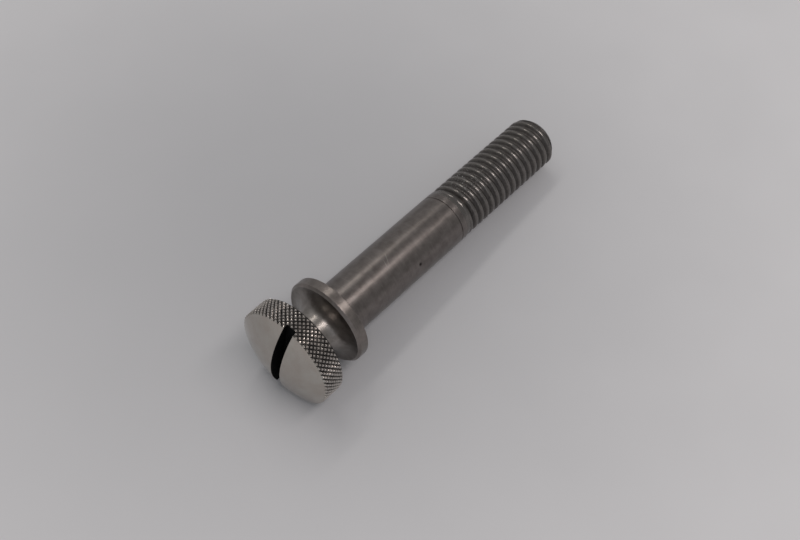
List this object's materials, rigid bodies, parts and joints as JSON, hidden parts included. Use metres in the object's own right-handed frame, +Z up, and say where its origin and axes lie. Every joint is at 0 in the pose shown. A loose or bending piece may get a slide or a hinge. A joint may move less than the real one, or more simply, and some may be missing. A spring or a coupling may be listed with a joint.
{
  "type": "thumb screw",
  "caption": "Turned steel thumb screw with a knurled, slotted head, a necked collar, a long plain shank and a threaded end.",
  "frame": {"origin": "on the table, under the middle of the screw as it lies on its side", "axes": "+X from the head towards the tip, +Y to the side, +Z up from the table; the screw's own axis is in the XZ plane and dips 4.1 degrees from +X towards the tip, because the head is wider than the shank"},
  "size_m": [0.056, 0.0152, 0.0153],
  "materials": {
    "steel": "satin"
  },
  "bodies": {
    "root": {"thumb_screw": "steel"}
  },
  "joints": []
}
